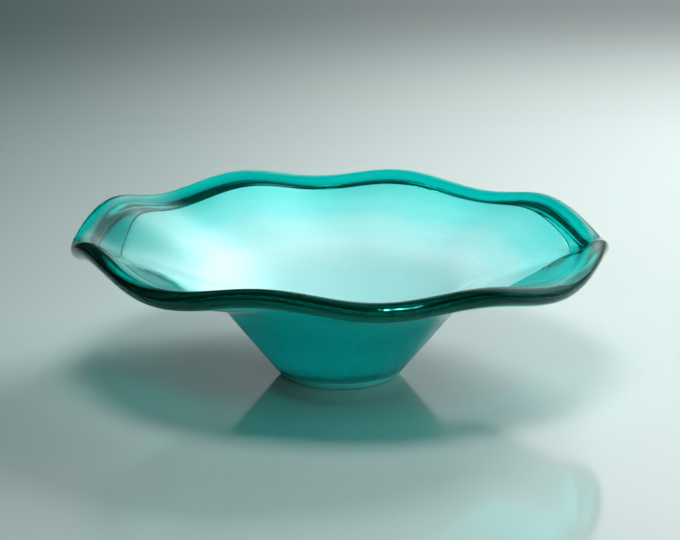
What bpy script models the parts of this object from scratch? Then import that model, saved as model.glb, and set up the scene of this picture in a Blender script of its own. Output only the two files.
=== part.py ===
"""Cased art glass bowl: opal lining, teal casing, rolled wavy lip and ground foot.

Every piece is a section turned about the bowl's own axis. The turned pieces are then ruffled
together, the way a glassmaker works the hot rim, so that they stay nested.
Units are metres. The origin is the centre of the ground foot, and +Z points up.
"""
import math

import bmesh
import bpy

# Foot
FOOT_RADIUS = 0.0415
FOOT_HEIGHT = 0.006
FOOT_DOME = 0.0015
FOOT_RINGS = (0.0, 0.35, 0.7, 1.0)
FOOT_EDGE = 0.0012
FOOT_EDGE_RISE = 0.0007

# Wall: a cone, a bend and a flare, all of one thickness
CONE_ANGLE = math.radians(51.0)
FLARE_ANGLE = math.radians(20.0)
WALL = 0.0062
LINING = 0.0020
FIT_GAP = 0.0003
FLOOR_HEIGHT = 0.013
WELL_BEND = 0.024
SHOULDER_BEND = 0.055

# Lip: the roll's centre line before it is ruffled, and the roll's half width and half height
RIM_RADIUS = 0.1815
RIM_HEIGHT = 0.098
ROLL_REACH = 0.0078
ROLL_RISE = 0.0068
TONGUE_END = 0.0008

# Clear band from the roll's centre line to the lining's edge: the width it is turned at, and
# the width it has at some azimuths once the bowl is worked (degrees, metres)
BAND_WIDTH = 0.026
BAND_WIDTHS = ((18, 0.015), (55, 0.010), (110, 0.012), (150, 0.0165), (175, 0.026),
               (212, 0.050), (270, 0.040), (325, 0.056), (354, 0.022))

# Ruffle: the lip's crests and valleys in turn (degrees, metres above the mean)
RIM_WAVES = ((8, -0.0095), (33, 0.0035), (53, -0.0045), (76, 0.0060), (95, -0.0010),
             (115, 0.0075), (136, -0.0020), (157, 0.0080), (180, -0.0050), (204, 0.0075),
             (230, -0.0050), (255, 0.0045), (279, -0.0035), (298, 0.0008), (322, -0.0080),
             (346, 0.0020))
RUFFLE_START = 0.070
RUFFLE_POWER = 1.3
DROOP_REACH = 0.25

# Faceting
SEGMENTS = 56
ARC_STEPS = 4
FLARE_STEPS = 4
ROLL_STEPS = 11
BAND_STEPS = 3
MERGE_DISTANCE = 0.00002
SHARP_EDGE = math.radians(40.0)

# Finishes: colour, roughness, metallic
FINISHES = {
    "opal_lining": ((0.62, 0.95, 0.93), 0.08, 0.0),
    "teal_casing": ((0.0, 0.19, 0.17), 0.30, 0.0),
    "lip_wrap": ((0.0, 0.07, 0.06), 0.04, 0.0),
    "foot_pad": ((0.0, 0.24, 0.21), 0.35, 0.0),
}


def clear_scene():
    for item in list(bpy.data.objects):
        bpy.data.objects.remove(item, do_unlink=True)


def wave_between(points, degrees):
    """Smooth closed curve through (azimuth, value) points, level at each of them."""
    degrees = degrees % 360.0
    for index, (end, end_value) in enumerate(points):
        if degrees < end:
            break
    else:
        index, end, end_value = 0, points[0][0] + 360.0, points[0][1]
    start, start_value = points[index - 1]
    if start > end:
        start -= 360.0
    share = (degrees - start) / (end - start)
    blend = 0.5 - 0.5 * math.cos(math.pi * share)
    return start_value + (end_value - start_value) * blend


def arc(centre, radius, start, end, steps):
    """Points (r, z) on an arc, both ends included."""
    points = []
    for step in range(steps + 1):
        angle = start + (end - start) * step / steps
        points.append((centre[0] + radius * math.cos(angle), centre[1] + radius * math.sin(angle)))
    return points


def cone_radius(height, sink):
    """Radius of the cone's wall at a height, on the face that lies sink below the inner face."""
    return FOOT_RADIUS + height / math.tan(CONE_ANGLE) - (WALL - sink) / math.sin(CONE_ANGLE)


def flare_height(radius, sink):
    """Height of the flared wall at a radius, on the face that lies sink below the inner face."""
    middle = RIM_HEIGHT + (radius - RIM_RADIUS) * math.tan(FLARE_ANGLE)
    return middle + (WALL / 2 - sink) / math.cos(FLARE_ANGLE)


def shoulder(sink):
    """The bend from cone to flare, from its lower end to its upper end."""
    base = cone_radius(0.0, sink)
    rise = math.tan(CONE_ANGLE)
    slope = math.tan(FLARE_ANGLE)
    corner_r = (flare_height(0.0, sink) + base * rise) / (rise - slope)
    corner_z = flare_height(corner_r, sink)
    radius = SHOULDER_BEND - sink
    reach = radius / math.cos((CONE_ANGLE - FLARE_ANGLE) / 2)
    middle = (CONE_ANGLE + FLARE_ANGLE) / 2
    centre = (corner_r + reach * math.sin(middle), corner_z - reach * math.cos(middle))
    return arc(centre, radius, CONE_ANGLE + math.pi / 2, FLARE_ANGLE + math.pi / 2, ARC_STEPS)


def well(sink):
    """The floor and the bend up to the cone, from the axis outwards."""
    radius = WELL_BEND + sink
    floor = FLOOR_HEIGHT - sink
    centre_r = cone_radius(floor, sink) - radius * math.tan(CONE_ANGLE / 2)
    bend = arc((centre_r, floor + radius), radius, -math.pi / 2, CONE_ANGLE - math.pi / 2, ARC_STEPS)
    return [(0.0, floor), (centre_r / 2, floor)] + bend


def flare(start_radius, end_radius, sink, steps):
    """Points on the flare after start_radius, up to and with end_radius."""
    points = []
    for step in range(1, steps + 1):
        radius = start_radius + (end_radius - start_radius) * step / steps
        points.append((radius, flare_height(radius, sink)))
    return points


def bowl_face(sink, end_radius):
    """One face of the wall, from the axis to end_radius."""
    bend = shoulder(sink)
    return well(sink) + bend + flare(bend[-1][0], end_radius, sink, FLARE_STEPS)


def foot_top(lift):
    """The shallow dome on which casing and foot meet, from the axis outwards."""
    edge = cone_radius(FOOT_HEIGHT + lift, WALL)
    points = []
    for share in FOOT_RINGS:
        points.append((edge * share, FOOT_HEIGHT + lift + FOOT_DOME * (1.0 - share * share)))
    return points


def lining_edge(sink):
    """Radius at which the lining ends, before the band's width is varied."""
    return RIM_RADIUS - BAND_WIDTH + sink * math.sin(FLARE_ANGLE)


def lining_section():
    inner = bowl_face(0.0, lining_edge(0.0))
    under = bowl_face(LINING, lining_edge(LINING))
    return under + inner[::-1]


def rim_point(along, across):
    """A point beside the roll's centre line, along the flare and across it."""
    radius = RIM_RADIUS + along * math.cos(FLARE_ANGLE) - across * math.sin(FLARE_ANGLE)
    height = RIM_HEIGHT + along * math.sin(FLARE_ANGLE) + across * math.cos(FLARE_ANGLE)
    return (radius, height)


def casing_section():
    seat = LINING + FIT_GAP
    step_gap = FIT_GAP / math.cos(FLARE_ANGLE)
    bend = shoulder(WALL)
    under_tongue = rim_point(-TONGUE_END, -WALL / 2)
    over_tongue = rim_point(-TONGUE_END, WALL / 2)
    outer = foot_top(FIT_GAP) + bend + flare(bend[-1][0], under_tongue[0], WALL, FLARE_STEPS + 1)
    nose = [rim_point(0.0, 0.0), over_tongue]
    band = flare(over_tongue[0], lining_edge(0.0) + step_gap, 0.0, BAND_STEPS)
    inner = bowl_face(seat, lining_edge(seat) + step_gap)
    return outer + nose + band + inner[::-1]


def lip_section():
    """A roll with a groove in its inner side that laps over the casing's edge."""
    half_groove = WALL / 2 + FIT_GAP
    open_angle = math.asin(half_groove / ROLL_RISE)
    roll = []
    for step in range(ROLL_STEPS + 1):
        angle = -math.pi + open_angle + (2 * math.pi - 2 * open_angle) * step / ROLL_STEPS
        roll.append(rim_point(ROLL_REACH * math.cos(angle), ROLL_RISE * math.sin(angle)))
    groove_end = FIT_GAP - TONGUE_END
    groove = [rim_point(groove_end, half_groove), rim_point(FIT_GAP, 0.0),
              rim_point(groove_end, -half_groove)]
    return roll + groove


def foot_section():
    edge = FOOT_RADIUS - FOOT_EDGE
    side = [(edge, 0.0), (FOOT_RADIUS, FOOT_EDGE_RISE)]
    return [(0.0, 0.0), (edge / 2, 0.0)] + side + foot_top(0.0)[::-1]


def ruffle(radius, height, azimuth):
    """Moves a turned point to where the worked rim has it."""
    degrees = math.degrees(azimuth)
    edge = RIM_RADIUS - BAND_WIDTH
    flare_start = shoulder(0.0)[-1][0]
    if radius < edge:
        near_edge = max(0.0, (radius - flare_start) / (edge - flare_start))
    else:
        near_edge = max(0.0, (RIM_RADIUS - ROLL_REACH - radius) / (BAND_WIDTH - ROLL_REACH))
    slide = (BAND_WIDTH - wave_between(BAND_WIDTHS, degrees)) * near_edge
    radius += slide
    height += slide * math.tan(FLARE_ANGLE)
    share = min(1.0, max(0.0, (radius - RUFFLE_START) / (RIM_RADIUS - RUFFLE_START)))
    rise = wave_between(RIM_WAVES, degrees) * share ** RUFFLE_POWER
    return radius - DROOP_REACH * rise, height + rise


def finish_for(name):
    colour, roughness, metallic = FINISHES[name]
    material = bpy.data.materials.new(name)
    material.use_nodes = True
    shader = material.node_tree.nodes["Principled BSDF"]
    shader.inputs["Base Color"].default_value = (*colour, 1.0)
    shader.inputs["Roughness"].default_value = roughness
    shader.inputs["Metallic"].default_value = metallic
    material.diffuse_color = (*colour, 1.0)
    return material


def turned_piece(name, section, closed):
    """Turns a section about +Z, ruffles it and adds it to the scene."""
    shape = bmesh.new()
    verts = [shape.verts.new((radius, 0.0, height)) for radius, height in section]
    edges = [shape.edges.new(pair) for pair in zip(verts, verts[1:])]
    if closed:
        edges.append(shape.edges.new((verts[-1], verts[0])))
    bmesh.ops.spin(shape, geom=verts + edges, cent=(0, 0, 0), axis=(0, 0, 1),
                   angle=2 * math.pi, steps=SEGMENTS, use_merge=True)
    bmesh.ops.remove_doubles(shape, verts=shape.verts, dist=MERGE_DISTANCE)
    for vert in shape.verts:
        radius = math.hypot(vert.co.x, vert.co.y)
        azimuth = math.atan2(vert.co.y, vert.co.x)
        radius, height = ruffle(radius, vert.co.z, azimuth)
        vert.co = (radius * math.cos(azimuth), radius * math.sin(azimuth), height)
    bmesh.ops.recalc_face_normals(shape, faces=shape.faces)
    mesh = bpy.data.meshes.new(name)
    shape.to_mesh(mesh)
    shape.free()
    mesh.shade_smooth()
    mesh.set_sharp_from_angle(angle=SHARP_EDGE)
    piece = bpy.data.objects.new(name, mesh)
    piece.data.materials.append(finish_for(name))
    bpy.context.scene.collection.objects.link(piece)
    return piece


def main():
    clear_scene()
    turned_piece("opal_lining", lining_section(), closed=False)
    turned_piece("teal_casing", casing_section(), closed=False)
    turned_piece("lip_wrap", lip_section(), closed=True)
    turned_piece("foot_pad", foot_section(), closed=False)


main()
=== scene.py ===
# %% [markdown]
# # A cased art glass bowl
# The bowl is made of two layers of hot glass and two additions: an opal lining, a teal casing
# round it, a heavy rolled lip and a foot pad. The lip and the casing are melted into each other,
# so on the real bowl no seam shows between them, and here they are one clear body too.
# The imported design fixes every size. This script gives the pieces their smooth worked surface,
# their glass and a quiet studio to stand in.

# %% Load the design and keep its box
import math

import bpy
import numpy as np
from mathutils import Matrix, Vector


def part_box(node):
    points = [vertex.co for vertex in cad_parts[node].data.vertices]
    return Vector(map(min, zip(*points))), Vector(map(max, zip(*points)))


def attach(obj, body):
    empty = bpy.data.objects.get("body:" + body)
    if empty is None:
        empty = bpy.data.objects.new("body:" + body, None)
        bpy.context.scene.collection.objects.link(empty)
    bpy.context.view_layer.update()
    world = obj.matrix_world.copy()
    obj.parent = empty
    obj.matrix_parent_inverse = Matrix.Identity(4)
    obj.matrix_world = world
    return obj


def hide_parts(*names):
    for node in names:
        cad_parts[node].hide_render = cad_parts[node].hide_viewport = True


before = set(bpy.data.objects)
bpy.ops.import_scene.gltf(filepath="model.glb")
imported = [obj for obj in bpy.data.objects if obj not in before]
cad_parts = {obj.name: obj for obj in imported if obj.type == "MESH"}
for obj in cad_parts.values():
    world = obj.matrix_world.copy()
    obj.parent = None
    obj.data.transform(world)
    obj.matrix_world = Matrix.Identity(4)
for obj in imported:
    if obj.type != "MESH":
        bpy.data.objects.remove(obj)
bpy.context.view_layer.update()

# %% [markdown]
# The sizes below are a glassmaker's: how steep the wall is, how thick each layer is, how heavy the
# lip's roll is. The design was turned from the same sizes, so the two models nest in each other.
# Writing them out, not measuring them off the facets, keeps the fine surface free of corners.

# %% Sizes of the wall, the lip and the foot
FOOT_RADIUS = 0.0415
FOOT_SEAM = 0.0055
CONE_ANGLE = math.radians(51.0)
FLARE_ANGLE = math.radians(20.0)
WALL = 0.0062
LINING = 0.0020
FLOOR_HEIGHT = 0.013
WELL_BEND = 0.024
SHOULDER_BEND = 0.055
RIM_RADIUS = 0.1815
RIM_HEIGHT = 0.098
ROLL_REACH = 0.0078
ROLL_RISE = 0.0068
BAND_WIDTH = 0.026
RUFFLE_START = 0.070
RUFFLE_POWER = 1.3
foot_low, foot_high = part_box("foot_pad")
print("the foot is", round((foot_high - foot_low).x * 1000, 1), "mm across, the wall",
      WALL * 1000, "mm thick")

# %% [markdown]
# The lip was ruffled by hand while it was hot, so its crests and valleys follow no formula.
# The design already holds them: each of its turned sections tells how high and how far out the
# lip is at that azimuth, and where the lining stops. Reading those lines from the design is
# better than repeating them, because the looks can then never drift away from the design.

# %% Read the lip's line and the lining's edge from the design
DESIGN_SECTIONS = 56
ON_AXIS = 0.001


def sections_of(node):
    """The node's corners as (radius, height), one array for each turned section."""
    points = np.array([tuple(vert.co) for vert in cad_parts[node].data.vertices])
    radius = np.hypot(points[:, 0], points[:, 1])
    turn = np.arctan2(points[:, 1], points[:, 0]) / (2 * math.pi) * DESIGN_SECTIONS
    place = np.rint(turn).astype(int) % DESIGN_SECTIONS
    off_axis = radius > ON_AXIS
    return [np.stack([radius, points[:, 2]], 1)[off_axis & (place == index)]
            for index in range(DESIGN_SECTIONS)]


lip_sections = sections_of("lip_wrap")
lip_height = [(part[:, 1].max() + part[:, 1].min()) / 2 for part in lip_sections]
lip_radius = [(part[:, 0].max() + part[:, 0].min()) / 2 for part in lip_sections]
lining_edge = [part[part[:, 1].argmax(), 0] for part in sections_of("opal_lining")]
print("lip height from", round(min(lip_height) * 1000, 1), "to", round(max(lip_height) * 1000, 1), "mm")
print("lining's edge from radius", round(min(lining_edge) * 1000, 1), "to",
      round(max(lining_edge) * 1000, 1), "mm")

# %% [markdown]
# The design has 56 sections. Straight lines between them would show as flats along the lip, so
# the lines are read through a smooth closed curve that still passes through every section.

# %% A smooth closed curve through the sections
def smooth_round(values, azimuth):
    """A closed cubic curve through equally spaced values, read at an azimuth in radians."""
    count = len(values)
    place = azimuth / (2 * math.pi) * count
    low = math.floor(place)
    share = place - low
    a, b, c, d = (values[(low + step) % count] for step in (-1, 0, 1, 2))
    bend = 2 * a - 5 * b + 4 * c - d + share * (3 * (b - c) + d - a)
    return b + 0.5 * share * (c - a + share * bend)


print("lip at the front is", round(smooth_round(lip_height, -math.pi / 2) * 1000, 1), "mm high")

# %% [markdown]
# The wall's section is a cone, a bend and a flare, all of one thickness. A face of the wall is
# named by its sink, how deep it lies below the face that things rest on: 0 is that face and WALL
# is the outside. One set of functions then draws every layer, and the layers stay parallel.

# %% Lines of the wall's section
BEND_STEPS = 5
FLOOR_RINGS = (0.0, 0.25, 0.65)


def arc(centre, radius, start, end, steps):
    """Points (r, z) on an arc, both ends included."""
    points = []
    for step in range(steps + 1):
        angle = start + (end - start) * step / steps
        points.append((centre[0] + radius * math.cos(angle), centre[1] + radius * math.sin(angle)))
    return points


def line(start, end, steps):
    """Points after start, up to and with end."""
    return [(start[0] + (end[0] - start[0]) * step / steps,
             start[1] + (end[1] - start[1]) * step / steps) for step in range(1, steps + 1)]


def cone_radius(height, sink):
    return FOOT_RADIUS + height / math.tan(CONE_ANGLE) - (WALL - sink) / math.sin(CONE_ANGLE)


def flare_height(radius, sink):
    middle = RIM_HEIGHT + (radius - RIM_RADIUS) * math.tan(FLARE_ANGLE)
    return middle + (WALL / 2 - sink) / math.cos(FLARE_ANGLE)


def shoulder(sink):
    """The bend from cone to flare, from its lower end to its upper end."""
    rise = math.tan(CONE_ANGLE)
    base = cone_radius(0.0, sink)
    corner_r = (flare_height(0.0, sink) + base * rise) / (rise - math.tan(FLARE_ANGLE))
    radius = SHOULDER_BEND - sink
    reach = radius / math.cos((CONE_ANGLE - FLARE_ANGLE) / 2)
    middle = (CONE_ANGLE + FLARE_ANGLE) / 2
    centre = (corner_r + reach * math.sin(middle),
              flare_height(corner_r, sink) - reach * math.cos(middle))
    return arc(centre, radius, CONE_ANGLE + math.pi / 2, FLARE_ANGLE + math.pi / 2, BEND_STEPS)


def well(sink):
    """The floor and the bend up to the cone, from the axis outwards."""
    radius = WELL_BEND + sink
    floor_z = FLOOR_HEIGHT - sink
    flat_r = cone_radius(floor_z, sink) - radius * math.tan(CONE_ANGLE / 2)
    bend = arc((flat_r, floor_z + radius), radius, -math.pi / 2, CONE_ANGLE - math.pi / 2, BEND_STEPS)
    return [(flat_r * ring, floor_z) for ring in FLOOR_RINGS] + bend


def rim_point(along, across):
    """A point beside the roll's centre line, along the flare and across it."""
    return (RIM_RADIUS + along * math.cos(FLARE_ANGLE) - across * math.sin(FLARE_ANGLE),
            RIM_HEIGHT + along * math.sin(FLARE_ANGLE) + across * math.cos(FLARE_ANGLE))


print("the outside bends at radius", round(shoulder(WALL)[0][0] * 1000, 1), "to",
      round(shoulder(WALL)[-1][0] * 1000, 1), "mm")

# %% [markdown]
# A blown bowl is a turned thing: the pipe spins all the time the glass is soft. A turned body
# could come from a Screw modifier, but here it is made as by hand. A plane is merged to a single
# point, the point is extruded along the section, and the section is spun round the axis. The
# doubled points on the seam and at the poles are merged, and the normals are turned outwards.

# %% Turn a section into a closed body
TURN_STEPS = 84
SEED_PLANE = 0.001
MERGE_DISTANCE = 0.00001


def turn_section(name, section):
    """Extrudes one point along a section that starts and ends on the axis, and spins it."""
    bpy.ops.object.select_all(action="DESELECT")
    bpy.ops.mesh.primitive_plane_add(size=SEED_PLANE, location=(0.0, 0.0, 0.0))
    piece = bpy.context.active_object
    piece.name = name
    piece.data.name = name
    bpy.ops.object.mode_set(mode="EDIT")
    bpy.ops.mesh.merge(type="CENTER")
    bpy.ops.transform.translate(value=(section[0][0], 0.0, section[0][1]))
    for (r0, z0), (r1, z1) in zip(section, section[1:]):
        bpy.ops.mesh.extrude_region_move(TRANSFORM_OT_translate={"value": (r1 - r0, 0.0, z1 - z0)})
    bpy.ops.mesh.select_all(action="SELECT")
    bpy.ops.mesh.spin(steps=TURN_STEPS, angle=2 * math.pi, center=(0, 0, 0), axis=(0, 0, 1))
    bpy.ops.mesh.select_all(action="SELECT")
    bpy.ops.mesh.remove_doubles(threshold=MERGE_DISTANCE)
    bpy.ops.mesh.normals_make_consistent(inside=False)
    bpy.ops.object.mode_set(mode="OBJECT")
    print(name, "turned:", len(section), "points in its section,", len(piece.data.polygons), "faces")
    return piece


# %% [markdown]
# Working the rim moves each point of a turned piece to where the hand-ruffled lip has it. The move
# starts at the shoulder and grows towards the lip. The clear band's width changes round the bowl
# in the same move, so the lining and the glass under it stay together. Last comes a faint swell,
# a quarter of a millimetre: no hand-worked wall is perfectly even, and that unevenness is what
# makes highlights on glass swim.

# %% Work the rim
FLARE_START = shoulder(0.0)[-1][0]
EDGE_RADIUS = RIM_RADIUS - BAND_WIDTH
EDGE_RUFFLE = 0.70
SWELL = 0.00025
SWELL_START = 0.060
SWELL_WAVES = ((1.0, 5, 60.0, 0.0), (1.0, 9, -95.0, 1.3), (0.6, 14, 150.0, 0.4))


def ruffle_share(radius):
    share = (radius - RUFFLE_START) / (RIM_RADIUS - RUFFLE_START)
    return min(1.0, max(0.0, share)) ** RUFFLE_POWER


def swell_at(radius, azimuth):
    """The wall's hand-made unevenness: a few slow waves that cross each other.

    Each wave is its weight, how often it goes round, its turn per metre outwards and its start."""
    growth = min(1.0, max(0.0, (radius - SWELL_START) / SWELL_START))
    waves = sum(weight * math.sin(often * azimuth + turn * radius + start)
                for weight, often, turn, start in SWELL_WAVES)
    return SWELL * growth * waves / sum(wave[0] for wave in SWELL_WAVES)


def work_rim(piece):
    for vert in piece.data.vertices:
        radius = math.hypot(vert.co.x, vert.co.y)
        azimuth = math.atan2(vert.co.y, vert.co.x)
        rise_at_lip = smooth_round(lip_height, azimuth) - RIM_HEIGHT
        reach_at_lip = smooth_round(lip_radius, azimuth) - RIM_RADIUS
        if radius < EDGE_RADIUS:
            near_edge = max(0.0, (radius - FLARE_START) / (EDGE_RADIUS - FLARE_START))
        else:
            near_edge = max(0.0, (RIM_RADIUS - ROLL_REACH - radius) / (BAND_WIDTH - ROLL_REACH))
        edge_here = smooth_round(lining_edge, azimuth) - reach_at_lip * EDGE_RUFFLE
        slide = (edge_here - EDGE_RADIUS) * near_edge
        radius += slide
        height = vert.co.z + slide * math.tan(FLARE_ANGLE)
        share = ruffle_share(radius)
        height += rise_at_lip * share + swell_at(radius, azimuth)
        radius += reach_at_lip * share
        vert.co = (radius * math.cos(azimuth), radius * math.sin(azimuth), height)


print("the flare is worked from radius", round(FLARE_START * 1000, 1), "mm outwards")

# %% [markdown]
# A Subdivision Surface turns the ring of flat faces into one flowing skin. It is applied, so the
# finished mesh holds the shape itself. Where a corner has to stay crisp, the section has two
# points close together, which is the usual way to hold an edge under subdivision.

# %% Smooth a worked piece
SMOOTH_LEVELS = 2


def finish_piece(piece):
    bpy.ops.object.select_all(action="DESELECT")
    piece.select_set(True)
    bpy.context.view_layer.objects.active = piece
    smooth = piece.modifiers.new("smooth", "SUBSURF")
    smooth.levels = SMOOTH_LEVELS
    smooth.render_levels = SMOOTH_LEVELS
    bpy.ops.object.modifier_apply(modifier=smooth.name)
    bpy.ops.object.shade_smooth()
    piece.data.calc_loop_triangles()
    size = [round(side * 1000, 1) for side in piece.dimensions]
    print(piece.name, "is", size, "mm and has", len(piece.data.loop_triangles), "triangles")


# %% [markdown]
# ## The clear body
# The casing and the rolled lip are one mass of teal glass once they are hot. Light enters at one
# face and leaves at another, so the body has to be one closed mesh: two closed meshes that touch
# would show a false air gap between them. Its section runs along the underside, round the roll,
# back over the clear band, and down the seat that the opal lining lies in.

# %% Section of the clear body
SEAT = LINING / 2
NECK = -0.0125
NECK_FILLET = 0.0002
ROLL_OPEN = math.radians(132.0)
ROLL_STEPS = 10
ROLL_ROOT_BELOW = (-0.0090, -0.0040)
ROLL_ROOT_ABOVE = (-0.0090, 0.0042)
BASE_RINGS = (0.0, 0.35, 0.7)
CORNER = 0.0005
BEVEL = CORNER / 5
SIDE_STEPS, UNDER_STEPS, BAND_STEPS, SEAT_STEPS = 6, 7, 3, 6


def roll_points():
    """The lip's rounded section, from its underside over the outside to its top."""
    points = [rim_point(*ROLL_ROOT_BELOW)]
    for step in range(ROLL_STEPS + 1):
        angle = ROLL_OPEN * (2 * step / ROLL_STEPS - 1)
        points.append(rim_point(ROLL_REACH * math.cos(angle), ROLL_RISE * math.sin(angle)))
    return points + [rim_point(*ROLL_ROOT_ABOVE)]


def glass_section():
    base_r = cone_radius(FOOT_SEAM, WALL)
    base = [(base_r * ring, FOOT_SEAM) for ring in BASE_RINGS]
    base += [(base_r - 4 * CORNER, FOOT_SEAM), (base_r - BEVEL, FOOT_SEAM),
             (cone_radius(FOOT_SEAM + BEVEL, WALL), FOOT_SEAM + BEVEL)]
    bend = shoulder(WALL)
    side = line(base[-1], bend[0], SIDE_STEPS) + bend[1:]
    under = line(bend[-1], rim_point(NECK, -WALL / 2 - NECK_FILLET), UNDER_STEPS)
    band_start = rim_point(NECK, WALL / 2)
    band_end = (EDGE_RADIUS + CORNER, flare_height(EDGE_RADIUS + CORNER, 0.0))
    band = [rim_point(NECK, WALL / 2 + NECK_FILLET)] + line(band_start, band_end, BAND_STEPS)
    step_down = [(EDGE_RADIUS + CORNER / 4, flare_height(EDGE_RADIUS, CORNER / 4)),
                 (EDGE_RADIUS - CORNER / 4, flare_height(EDGE_RADIUS, SEAT))]
    top_bend = shoulder(SEAT)
    seat = step_down + line(step_down[-1], top_bend[-1], SEAT_STEPS)
    seat += top_bend[::-1][1:] + well(SEAT)[::-1]
    return base + side + under + roll_points() + band + seat


glass = turn_section("cased_glass", glass_section())
work_rim(glass)
finish_piece(glass)

# %% [markdown]
# ## The opal lining
# The lining is the first gather, a milky layer two millimetres thick. It is a closed shell of its
# own, sunk half its thickness into the clear body. The overlap matters: with a gap, the light
# would meet air between the layers and the cone would look hollow and grey.

# %% Section of the lining
def lining_section():
    top_bend = shoulder(0.0)
    low_bend = shoulder(LINING)
    low_edge = (EDGE_RADIUS - CORNER, flare_height(EDGE_RADIUS - CORNER, LINING))
    edge = [(EDGE_RADIUS, flare_height(EDGE_RADIUS, LINING - CORNER)),
            (EDGE_RADIUS, flare_height(EDGE_RADIUS, CORNER)),
            (EDGE_RADIUS - CORNER, flare_height(EDGE_RADIUS - CORNER, 0.0))]
    under = well(LINING) + low_bend + line(low_bend[-1], low_edge, SEAT_STEPS)
    over = line(edge[-1], top_bend[-1], SEAT_STEPS) + top_bend[::-1][1:] + well(0.0)[::-1]
    return under + edge + over


lining = turn_section("opal_lining_skin", lining_section())
work_rim(lining)
finish_piece(lining)

# %% [markdown]
# ## The foot pad
# The foot is a small disc of glass, ground flat underneath so that the bowl stands still. The
# scar where the rod was broken off has been polished into a shallow hollow, the pontil mark. Both
# are part of the section, so they are real shape and not a painted ring. The foot is fused to the
# clear body, so its milky core rises a little way inside it, and no empty wedge shows at the join.

# %% Section of the foot
GROUND_EDGE = 0.0020
PONTIL_RADIUS = 0.013
PONTIL_DEPTH = 0.0009
CORE_TOP = 0.0098
CORE_SKIN = 0.0006


def foot_section():
    top_r = cone_radius(FOOT_SEAM, WALL)
    core = WALL - CORE_SKIN
    pontil = [(0.0, PONTIL_DEPTH), (PONTIL_RADIUS * 0.5, PONTIL_DEPTH * 0.7),
              (PONTIL_RADIUS * 0.95, BEVEL), (PONTIL_RADIUS * 1.05, 0.0)]
    ground = [(FOOT_RADIUS * 0.6, 0.0), (FOOT_RADIUS - GROUND_EDGE, 0.0),
              (FOOT_RADIUS - GROUND_EDGE * 0.4, GROUND_EDGE * 0.15), (FOOT_RADIUS, GROUND_EDGE * 0.5)]
    side = line(ground[-1], (top_r, FOOT_SEAM), 3) + [(top_r - BEVEL, FOOT_SEAM + BEVEL)]
    neck = (cone_radius(FOOT_SEAM + CORNER, core), FOOT_SEAM + CORNER)
    crown = (cone_radius(CORE_TOP - CORNER, core), CORE_TOP - CORNER)
    lid = [(crown[0] - 2 * CORNER, CORE_TOP), (crown[0] * 0.5, CORE_TOP), (0.0, CORE_TOP)]
    return pontil + ground + side + [neck] + line(neck, crown, 2) + lid


foot = turn_section("ground_foot", foot_section())
finish_piece(foot)

# %% [markdown]
# ## Helpers for materials
# Every pattern here reads Object coordinates: the pieces stand at the origin, unturned, so these
# are plain metres on the bowl. Two measures drive most of the finishes, how far a point is from
# the bowl's axis and how high it is, because a turned thing changes in rings.

# %% Small helpers for node trees
def new_material(name):
    material = bpy.data.materials.new(name)
    material.use_nodes = True
    nodes = material.node_tree.nodes
    return material, nodes, material.node_tree.links, nodes["Principled BSDF"]


def maths(nodes, links, operation, first, second):
    """One Math node; each side is a socket or a plain number."""
    node = nodes.new("ShaderNodeMath")
    node.operation = operation
    for index, value in enumerate((first, second)):
        if isinstance(value, bpy.types.NodeSocket):
            links.new(value, node.inputs[index])
        else:
            node.inputs[index].default_value = value
    return node.outputs["Value"]


def share_between(nodes, links, source, low, high):
    """0 at low, 1 at high, and eased between them."""
    node = nodes.new("ShaderNodeMapRange")
    node.interpolation_type = "SMOOTHSTEP"
    node.inputs["From Min"].default_value = low
    node.inputs["From Max"].default_value = high
    links.new(source, node.inputs["Value"])
    return node.outputs["Result"]


def ramp(nodes, links, source, stops):
    """A colour ramp; its stops are (place, colour)."""
    node = nodes.new("ShaderNodeValToRGB")
    node.color_ramp.interpolation = "EASE"
    elements = node.color_ramp.elements
    while len(elements) < len(stops):
        elements.new(0.5)
    for element, (place, colour) in zip(elements, stops):
        element.position = place
        element.color = (*colour, 1.0)
    links.new(source, node.inputs["Fac"])
    return node.outputs["Color"]


def mix_colour(nodes, links, share, first, second, blend="MIX"):
    """First where share is 0, second (or first times second) where it is 1."""
    node = nodes.new("ShaderNodeMix")
    node.data_type = "RGBA"
    node.blend_type = blend
    if isinstance(share, bpy.types.NodeSocket):
        links.new(share, node.inputs["Factor"])
    else:
        node.inputs["Factor"].default_value = share
    for name, value in (("A", first), ("B", second)):
        socket = [item for item in node.inputs if item.name == name and item.type == "RGBA"][0]
        if isinstance(value, bpy.types.NodeSocket):
            links.new(value, socket)
        else:
            socket.default_value = (*value, 1.0)
    return [item for item in node.outputs if item.type == "RGBA"][0]


def ring_measures(nodes, links, place):
    """Distance from the bowl's axis, and height, both in metres."""
    flat = nodes.new("ShaderNodeVectorMath")
    flat.operation = "MULTIPLY"
    flat.inputs[1].default_value = (1.0, 1.0, 0.0)
    length = nodes.new("ShaderNodeVectorMath")
    length.operation = "LENGTH"
    split = nodes.new("ShaderNodeSeparateXYZ")
    links.new(place, flat.inputs[0])
    links.new(flat.outputs["Vector"], length.inputs[0])
    links.new(place, split.inputs["Vector"])
    return length.outputs["Value"], split.outputs["Z"]


def away_from_middle(nodes, links, place, axis, start, end):
    """0 at start, 1 at end, both measured from the middle towards the axis's negative side."""
    split = nodes.new("ShaderNodeSeparateXYZ")
    links.new(place, split.inputs["Vector"])
    backwards = maths(nodes, links, "MULTIPLY", split.outputs[axis], -1.0)
    return share_between(nodes, links, backwards, start, end)


def noise(nodes, links, vector, scale, detail, distortion=0.0):
    node = nodes.new("ShaderNodeTexNoise")
    links.new(vector, node.inputs["Vector"])
    for name, value in (("Scale", scale), ("Detail", detail), ("Distortion", distortion)):
        if isinstance(value, bpy.types.NodeSocket):
            links.new(value, node.inputs[name])
        else:
            node.inputs[name].default_value = value
    return node.outputs["Fac"]


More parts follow.
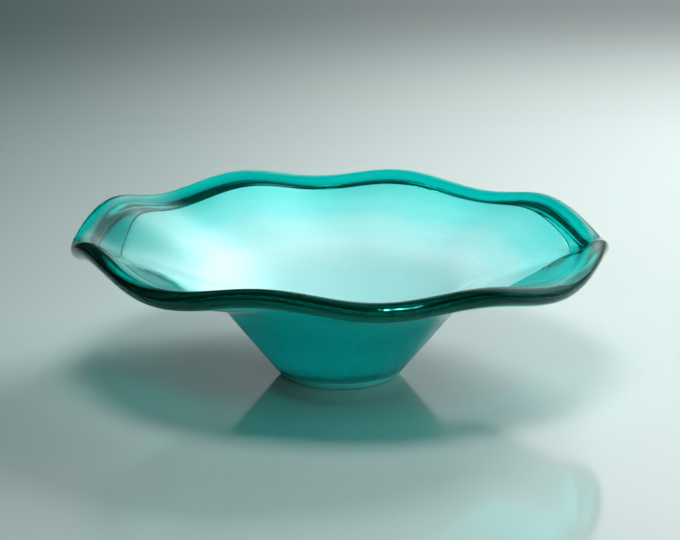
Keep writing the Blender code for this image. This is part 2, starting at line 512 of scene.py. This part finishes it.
# %% [markdown]
# ## Shared effects
# An effect that several finishes need is built once, as a node group with named inputs, and each
# material sets its own amounts. The first is the faint print that hot working leaves: slow waves,
# with finer cords running round the bowl where the gather was turned.

# %% Group: worked surface
def new_group(name, inputs, outputs):
    tree = bpy.data.node_groups.new(name, "ShaderNodeTree")
    for title, kind in inputs:
        tree.interface.new_socket(name=title, in_out="INPUT", socket_type=kind)
    for title, kind in outputs:
        tree.interface.new_socket(name=title, in_out="OUTPUT", socket_type=kind)
    start = tree.nodes.new("NodeGroupInput")
    end = tree.nodes.new("NodeGroupOutput")
    print("node group", name, "takes", [title for title, kind in inputs])
    return tree, start.outputs, end.inputs


CORD_DRIFT = 5.0
CORD_RELIEF = 0.18


def worked_surface_group():
    """Waves and cords of hand-worked glass: a normal, and a 0 to 1 mask of the cords."""
    tree, given, result = new_group(
        "worked surface",
        (("Vector", "NodeSocketVector"), ("Wave Scale", "NodeSocketFloat"),
         ("Cord Scale", "NodeSocketFloat"), ("Depth", "NodeSocketFloat")),
        (("Normal", "NodeSocketVector"), ("Cords", "NodeSocketFloat")))
    nodes, links = tree.nodes, tree.links
    radius, height = ring_measures(nodes, links, given["Vector"])
    drift = noise(nodes, links, given["Vector"], given["Wave Scale"], 1.0)
    rings = nodes.new("ShaderNodeCombineXYZ")
    links.new(maths(nodes, links, "MULTIPLY", radius, given["Cord Scale"]), rings.inputs["X"])
    links.new(maths(nodes, links, "MULTIPLY", height, given["Cord Scale"]), rings.inputs["Y"])
    links.new(maths(nodes, links, "MULTIPLY", drift, CORD_DRIFT), rings.inputs["Z"])
    cords = noise(nodes, links, rings.outputs["Vector"], 1.0, 2.0)
    relief = maths(nodes, links, "ADD", drift, maths(nodes, links, "MULTIPLY", cords, CORD_RELIEF))
    bump = nodes.new("ShaderNodeBump")
    bump.inputs["Strength"].default_value = 1.0
    links.new(given["Depth"], bump.inputs["Distance"])
    links.new(relief, bump.inputs["Height"])
    links.new(bump.outputs["Normal"], result["Normal"])
    links.new(cords, result["Cords"])
    return tree


worked_surface = worked_surface_group()

# %% [markdown]
# The second is satin etching. Acid leaves a fine, even tooth, a little stronger in soft patches.
# It is given as a roughness that varies from point to point, which scatters light softly.

# %% Group: satin etch
PATCH_SCALE = 0.03


def satin_etch_group():
    """Roughness of acid-etched glass: fine tooth over soft patches."""
    tree, given, result = new_group(
        "satin etch",
        (("Vector", "NodeSocketVector"), ("Grain Scale", "NodeSocketFloat"),
         ("Roughness", "NodeSocketFloat"), ("Spread", "NodeSocketFloat")),
        (("Roughness", "NodeSocketFloat"), ("Tooth", "NodeSocketFloat")))
    nodes, links = tree.nodes, tree.links
    tooth = noise(nodes, links, given["Vector"], given["Grain Scale"], 2.0)
    patch_scale = maths(nodes, links, "MULTIPLY", given["Grain Scale"], PATCH_SCALE)
    patches = noise(nodes, links, given["Vector"], patch_scale, 2.0)
    both = maths(nodes, links, "ADD", tooth, patches)
    centred = maths(nodes, links, "SUBTRACT", both, 1.0)
    swing = maths(nodes, links, "MULTIPLY", centred, given["Spread"])
    links.new(maths(nodes, links, "ADD", given["Roughness"], swing), result["Roughness"])
    links.new(tooth, result["Tooth"])
    return tree


satin_etch = satin_etch_group()

# %% [markdown]
# The third is shelf dust. Dust settles on faces that look up, in drifts and with single specks,
# and it is what separates a bowl that stands in a room from one that is only computed. It is kept
# very faint, because a glass bowl on show is wiped often.

# %% Group: shelf dust
DUST_FACES_UP = (0.35, 1.0)
SPECK_CUT = (0.66, 0.74)
DRIFT_SCALE = 0.02
DRIFT_COVER = 0.35
DUST_COLOUR = (0.75, 0.76, 0.74)


def shelf_dust_group():
    """0 to 1 where dust lies: on faces that look up, in drifts with specks."""
    tree, given, result = new_group(
        "shelf dust",
        (("Vector", "NodeSocketVector"), ("Speck Scale", "NodeSocketFloat"),
         ("Amount", "NodeSocketFloat")),
        (("Dust", "NodeSocketFloat"),))
    nodes, links = tree.nodes, tree.links
    surface = nodes.new("ShaderNodeNewGeometry")
    split = nodes.new("ShaderNodeSeparateXYZ")
    links.new(surface.outputs["Normal"], split.inputs["Vector"])
    up = share_between(nodes, links, split.outputs["Z"], *DUST_FACES_UP)
    grit = noise(nodes, links, given["Vector"], given["Speck Scale"], 1.0)
    specks = share_between(nodes, links, grit, *SPECK_CUT)
    drift_scale = maths(nodes, links, "MULTIPLY", given["Speck Scale"], DRIFT_SCALE)
    drifts = noise(nodes, links, given["Vector"], drift_scale, 3.0)
    cover = maths(nodes, links, "ADD", maths(nodes, links, "MULTIPLY", drifts, DRIFT_COVER), specks)
    lying = maths(nodes, links, "MULTIPLY", cover, up)
    links.new(maths(nodes, links, "MULTIPLY", lying, given["Amount"]), result["Dust"])
    return tree


shelf_dust = shelf_dust_group()


def place_group(nodes, links, tree, vector, **amounts):
    """Puts a shared effect in a material and sets its named amounts."""
    node = nodes.new("ShaderNodeGroup")
    node.node_tree = tree
    links.new(vector, node.inputs["Vector"])
    for name, value in amounts.items():
        node.inputs[name.replace("_", " ")].default_value = value
    return node.outputs


# %% [markdown]
# ## Teal glass
# Clear glass has no colour of its own on its surface: light is tinted on its way through, so the
# thick lip is far deeper than the thin band. That is a volume that absorbs red light strongly and
# green and blue weakly. A tint in rings deepens the cone and the bend, where the wall looks darker
# than its thickness alone would make it; towards the foot it turns pale again, a painted glow for
# the light that the lower edge of the cone catches. The underside of the cone is etched satin and
# the lip is fire-polished, so the roughness changes with the distance from the axis. The glass
# towards the rim is darkened on its near and left sides, a painted shade for the dim room they face.

# %% Material: teal glass
ETCH_END = 0.075
POLISH_START = 0.100
GLASS_IOR = 1.5
POLISHED_ROUGHNESS = 0.012
TEAL_TINTS_WITH_FOOT_GLOW = ((0.03, (0.90, 1.0, 1.0)), (0.14, (0.50, 0.76, 0.75)),
              (0.28, (0.32, 0.58, 0.57)), (0.75, (0.90, 1.0, 1.0)))
TEAL_CORD = (0.45, 0.80, 0.79)
TEAL_SHADE = (0.12, 0.52, 0.50)
TEAL_ABSORBS = (0.0, 0.94, 0.926, 1.0)
TEAL_DENSITY = 460.0


def teal_glass():
    material, nodes, links, shader = new_material("teal_glass")
    place = nodes.new("ShaderNodeTexCoord").outputs["Object"]
    radius = ring_measures(nodes, links, place)[0]
    surface = place_group(nodes, links, worked_surface, place, Wave_Scale=26.0, Cord_Scale=420.0,
                          Depth=0.0006)
    etch = place_group(nodes, links, satin_etch, place, Grain_Scale=2600.0, Roughness=0.29,
                       Spread=0.10)
    dust = place_group(nodes, links, shelf_dust, place, Speck_Scale=1500.0, Amount=0.05)["Dust"]
    # Painted glow: the ring tint pales towards the foot, where the cone's lower edge catches light.
    tint = ramp(nodes, links, share_between(nodes, links, radius, 0.02, RIM_RADIUS), TEAL_TINTS_WITH_FOOT_GLOW)
    cords = maths(nodes, links, "MULTIPLY",
                  share_between(nodes, links, surface["Cords"], 0.25, 0.8), 0.10)
    streaked = mix_colour(nodes, links, cords, tint, TEAL_CORD, "MULTIPLY")
    # Painted shade: the glass towards the rim darkens on its near and left sides.
    shade_side = maths(nodes, links, "MAXIMUM",
                       away_from_middle(nodes, links, place, "X", 0.12, 0.17),
                       away_from_middle(nodes, links, place, "Y", 0.09, 0.15))
    painted_shade = maths(nodes, links, "MULTIPLY", shade_side, 0.55)
    lip_shaded = mix_colour(nodes, links, painted_shade, streaked, TEAL_SHADE, "MULTIPLY")
    links.new(mix_colour(nodes, links, dust, lip_shaded, DUST_COLOUR), shader.inputs["Base Color"])
    polish = share_between(nodes, links, radius, ETCH_END, POLISH_START)
    etched = maths(nodes, links, "SUBTRACT", 1.0, polish)
    satin = maths(nodes, links, "MULTIPLY", etch["Roughness"], etched)
    smooth = maths(nodes, links, "MULTIPLY", polish, POLISHED_ROUGHNESS)
    rough = maths(nodes, links, "ADD", maths(nodes, links, "ADD", satin, smooth), dust)
    links.new(rough, shader.inputs["Roughness"])
    links.new(surface["Normal"], shader.inputs["Normal"])
    shader.inputs["Transmission Weight"].default_value = 1.0
    shader.inputs["IOR"].default_value = GLASS_IOR
    shader.inputs["Specular Tint"].default_value = (0.08, 1.0, 0.96, 1.0)
    shader.inputs["Specular IOR Level"].default_value = 0.42
    absorb = nodes.new("ShaderNodeVolumeAbsorption")
    absorb.inputs["Color"].default_value = TEAL_ABSORBS
    absorb.inputs["Density"].default_value = TEAL_DENSITY
    links.new(absorb.outputs["Volume"], nodes["Material Output"].inputs["Volume"])
    return material


glass.data.materials.append(teal_glass())
print("teal glass: etched inside radius", ETCH_END, "m, polished beyond", POLISH_START, "m")

# %% [markdown]
# ## Opal glass
# Opal glass is white glass with teal drawn into it. Light goes in a little way and comes out near
# by, so it glows at its edges, which is subsurface scattering. The colour is palest in the middle
# and turns cyan towards the edge, where the teal casing shows through the thinning milk. Towards
# the left it is darkened, a painted shade. A clear coat gives the wet shine of a fire-polished face.

# %% Material: opal glass
COAT_IOR = 1.38
OPAL_TINTS = ((0.0, (0.56, 0.97, 0.97)), (0.45, (0.58, 0.98, 0.98)),
              (0.72, (0.44, 0.95, 0.93)), (0.90, (0.24, 0.87, 0.84)), (1.0, (0.13, 0.78, 0.74)))
OPAL_CORD = (0.55, 0.90, 0.90)
OPAL_LEFT_SHADE = (0.10, 0.42, 0.40)
OPAL_DUST_COLOUR = (0.78, 0.80, 0.78)
OPAL_ROUGHNESS = 0.22
MILK_DRIFT = 0.022


def opal_glass():
    material, nodes, links, shader = new_material("opal_glass")
    place = nodes.new("ShaderNodeTexCoord").outputs["Object"]
    radius = ring_measures(nodes, links, place)[0]
    surface = place_group(nodes, links, worked_surface, place, Wave_Scale=22.0, Cord_Scale=260.0,
                          Depth=0.0010)
    dust = place_group(nodes, links, shelf_dust, place, Speck_Scale=1500.0, Amount=0.10)["Dust"]
    milk = maths(nodes, links, "SUBTRACT", noise(nodes, links, place, 14.0, 4.0, 0.8), 0.5)
    drifted = maths(nodes, links, "ADD", radius, maths(nodes, links, "MULTIPLY", milk, MILK_DRIFT))
    tint = ramp(nodes, links, share_between(nodes, links, drifted, 0.02, 0.175), OPAL_TINTS)
    # Painted shade: the lining darkens towards its left side.
    left_shade = maths(nodes, links, "MULTIPLY",
                 away_from_middle(nodes, links, place, "X", 0.08, 0.155), 0.85)
    left_shaded = mix_colour(nodes, links, left_shade, tint, OPAL_LEFT_SHADE, "MULTIPLY")
    cords = maths(nodes, links, "MULTIPLY",
                  share_between(nodes, links, surface["Cords"], 0.35, 0.75), 0.12)
    streaked = mix_colour(nodes, links, cords, left_shaded, OPAL_CORD, "MULTIPLY")
    links.new(mix_colour(nodes, links, dust, streaked, OPAL_DUST_COLOUR), shader.inputs["Base Color"])
    dulled = maths(nodes, links, "MULTIPLY", dust, 0.6)
    links.new(maths(nodes, links, "ADD", OPAL_ROUGHNESS, dulled), shader.inputs["Roughness"])
    links.new(surface["Normal"], shader.inputs["Normal"])
    shader.inputs["Subsurface Weight"].default_value = 0.6
    shader.inputs["Subsurface Radius"].default_value = (0.4, 1.0, 1.0)
    shader.inputs["Subsurface Scale"].default_value = 0.004
    shader.inputs["Coat Weight"].default_value = 0.45
    shader.inputs["Coat Roughness"].default_value = 0.04
    shader.inputs["Coat IOR"].default_value = COAT_IOR
    return material


lining.data.materials.append(opal_glass())
print("opal glass: palest in the well, cyan at the edge")

# %% [markdown]
# ## Foot glass
# The foot is the same teal glass, but ground: its underside and its edge are frosted, with fine
# scratches from the shelf, and only the pontil mark is polished clear. It is drawn as a scattering
# solid, because frosting hides what is behind it.

# %% Material: foot glass
WORN_HEIGHT = 0.0016
WORN_WIDTH = 0.010
FOOT_BODY = ((0.10, 0.88, 0.84), (0.24, 0.95, 0.91))
FOOT_WORN = (0.66, 0.80, 0.78)
PONTIL_POLISH = 0.15


def foot_glass():
    material, nodes, links, shader = new_material("foot_glass")
    place = nodes.new("ShaderNodeTexCoord").outputs["Object"]
    radius, height = ring_measures(nodes, links, place)
    etch = place_group(nodes, links, satin_etch, place, Grain_Scale=2200.0, Roughness=0.36,
                       Spread=0.14)
    low = maths(nodes, links, "SUBTRACT", 1.0, share_between(nodes, links, height, 0.0, WORN_HEIGHT))
    rim_of_foot = share_between(nodes, links, radius, FOOT_RADIUS - WORN_WIDTH,
                                FOOT_RADIUS - GROUND_EDGE)
    scuffs = share_between(nodes, links, noise(nodes, links, place, 900.0, 3.0, 1.5), 0.50, 0.72)
    wear = maths(nodes, links, "MULTIPLY", maths(nodes, links, "MULTIPLY", low, rim_of_foot), scuffs)
    pale = maths(nodes, links, "MULTIPLY", etch["Tooth"], 0.25)
    body = mix_colour(nodes, links, pale, *FOOT_BODY)
    links.new(mix_colour(nodes, links, wear, body, FOOT_WORN), shader.inputs["Base Color"])
    polished = share_between(nodes, links, radius, PONTIL_RADIUS * 0.8, PONTIL_RADIUS * 1.1)
    frosted = maths(nodes, links, "MULTIPLY", polished, 1.0 - PONTIL_POLISH)
    frost = maths(nodes, links, "ADD", PONTIL_POLISH, frosted)
    links.new(maths(nodes, links, "MULTIPLY", etch["Roughness"], frost), shader.inputs["Roughness"])
    bump = nodes.new("ShaderNodeBump")
    bump.inputs["Distance"].default_value = 0.0001
    bump.inputs["Strength"].default_value = 0.4
    links.new(etch["Tooth"], bump.inputs["Height"])
    links.new(bump.outputs["Normal"], shader.inputs["Normal"])
    shader.inputs["Subsurface Weight"].default_value = 0.6
    shader.inputs["Subsurface Radius"].default_value = (0.3, 1.0, 1.0)
    shader.inputs["Subsurface Scale"].default_value = 0.003
    return material


foot.data.materials.append(foot_glass())
print("foot glass: frosted, worn at radius", FOOT_RADIUS, "m")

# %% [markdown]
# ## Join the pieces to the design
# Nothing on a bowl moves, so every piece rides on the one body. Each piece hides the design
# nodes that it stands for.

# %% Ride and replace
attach(glass, "root")
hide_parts("teal_casing", "lip_wrap")
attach(lining, "root")
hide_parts("opal_lining")
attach(foot, "root")
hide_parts("foot_pad")
print("three pieces stand for", len(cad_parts), "design nodes")

# %% [markdown]
# ## Studio
# A plain pale floor, polished enough to mirror the bowl softly. It is so wide that the camera, which
# looks down on it, never meets its far edge. It lies a fifth of a millimetre low, so that it never
# fights with the foot's flat underside for the same place.

# %% Floor
FLOOR_SIZE = 16.0
FLOOR_GAP = 0.0002
FLOOR_COLOURS = ((0.50, 0.59, 0.57), (0.57, 0.65, 0.63))
bpy.ops.object.select_all(action="DESELECT")
bpy.ops.mesh.primitive_plane_add(size=FLOOR_SIZE, location=(0.0, 0.0, -FLOOR_GAP))
floor = bpy.context.active_object
floor.name = "studio_floor"
floor_material, floor_nodes, floor_links, floor_shader = new_material("studio_floor")
floor_place = floor_nodes.new("ShaderNodeTexCoord").outputs["Object"]
cloud = noise(floor_nodes, floor_links, floor_place, 2.5, 3.0)
floor_colour = mix_colour(floor_nodes, floor_links, cloud, *FLOOR_COLOURS)
floor_links.new(floor_colour, floor_shader.inputs["Base Color"])
floor_shader.inputs["Roughness"].default_value = 0.10
floor_shader.inputs["IOR"].default_value = 2.0
floor.data.materials.append(floor_material)
print("floor", FLOOR_SIZE, "m square")

# %% [markdown]
# Glass shows its surroundings more than itself. The surroundings here are a dim teal-grey room
# with one broad, soft window behind and to the right. The window is bright enough to fill the
# bowl, the dim side makes the near lip almost black, and the darker strip along the horizon draws
# the dark line that a roll of glass always carries.

# %% World
WINDOW_TOWARDS = Vector((0.766, 0.643, 0.0))
ROOM_COLOUR = (0.012, 0.055, 0.052)
WINDOW_COLOUR = (0.95, 0.99, 1.0)
WINDOW_EDGES = (0.46, 0.80)
SKY_LEVELS = ((0.0, 0.22), (0.10, 0.26), (0.24, 0.66), (0.42, 1.12), (1.0, 0.80))
world = bpy.data.worlds.new("studio")
bpy.context.scene.world = world
world.use_nodes = True
sky_nodes, sky_links = world.node_tree.nodes, world.node_tree.links
towards = sky_nodes.new("ShaderNodeTexCoord").outputs["Generated"]
facing = sky_nodes.new("ShaderNodeVectorMath")
facing.operation = "DOT_PRODUCT"
facing.inputs[1].default_value = WINDOW_TOWARDS
sky_links.new(towards, facing.inputs[0])
window = share_between(sky_nodes, sky_links, facing.outputs["Value"], *WINDOW_EDGES)
direction = sky_nodes.new("ShaderNodeSeparateXYZ")
sky_links.new(towards, direction.inputs["Vector"])
levels = [(rise, (level, level, level)) for rise, level in SKY_LEVELS]
upwards = ramp(sky_nodes, sky_links, direction.outputs["Z"], levels)
glow = mix_colour(sky_nodes, sky_links, window, ROOM_COLOUR, WINDOW_COLOUR)
backdrop = mix_colour(sky_nodes, sky_links, 1.0, glow, upwards, "MULTIPLY")
sky_links.new(backdrop, sky_nodes["Background"].inputs["Color"])
sky_nodes["Background"].inputs["Strength"].default_value = 1.5
print("window towards", [round(value, 2) for value in WINDOW_TOWARDS])

# %% [markdown]
# Four lamps help the window. The key shapes the floor's light from the right. The fills brighten
# the inside and the cone without showing as shapes in the gloss, so they are hidden from
# reflections. The glint is the opposite: a small lamp that only reflections see, for the short
# white marks on the lip.

# %% Lights
def soft_light(name, place, target, size, power):
    lamp = bpy.data.lights.new(name, "AREA")
    lamp.shape = "RECTANGLE"
    lamp.size, lamp.size_y = size
    lamp.energy = power
    holder = bpy.data.objects.new(name, lamp)
    bpy.context.scene.collection.objects.link(holder)
    holder.location = place
    holder.rotation_euler = (Vector(target) - Vector(place)).to_track_quat("-Z", "Y").to_euler()
    print(name, "gives", power, "W")
    return holder


key = soft_light("window_key", (0.75, 1.25, 1.15), (0.50, 0.45, 0.0), (0.8, 0.6), 10.0)
key.data.spread = math.radians(100.0)
top = soft_light("top_fill", (-0.02, -0.45, 1.5), (0.07, 0.05, 0.05), (0.6, 0.6), 1.8)
top.data.spread = math.radians(60.0)
front = soft_light("front_fill", (0.75, -1.25, 0.30), (0.0, 0.0, 0.03), (0.8, 0.4), 3.8)
key.visible_transmission = False
for holder in (key, top, front):
    holder.visible_glossy = False
glint = soft_light("glint", (0.47, -0.97, 1.14), (0.0, 0.0, 0.1), (0.34, 0.03), 10.0)
glint.visible_diffuse = False
glint.visible_transmission = False

# %% [markdown]
# The camera looks a little down on the bowl, from the front, through a long lens that keeps the
# far lip nearly as wide as the near one.

# %% Camera
CAMERA_AIM = Vector((0.0, 0.0, 0.076))
CAMERA_RISE = math.radians(14.69)
CAMERA_DISTANCE = 1.755
camera_data = bpy.data.cameras.new("camera")
camera_data.lens = 131.0
camera_data.sensor_width = 36.0
camera_data.clip_end = 50.0
camera = bpy.data.objects.new("camera", camera_data)
bpy.context.scene.collection.objects.link(camera)
step_back = Vector((0.0, -math.cos(CAMERA_RISE), math.sin(CAMERA_RISE)))
camera.location = CAMERA_AIM + CAMERA_DISTANCE * step_back
camera.rotation_euler = (-step_back).to_track_quat("-Z", "Y").to_euler()
bpy.context.scene.camera = camera
bpy.context.scene.view_settings.view_transform = "Standard"
print("camera at", [round(value, 3) for value in camera.location])
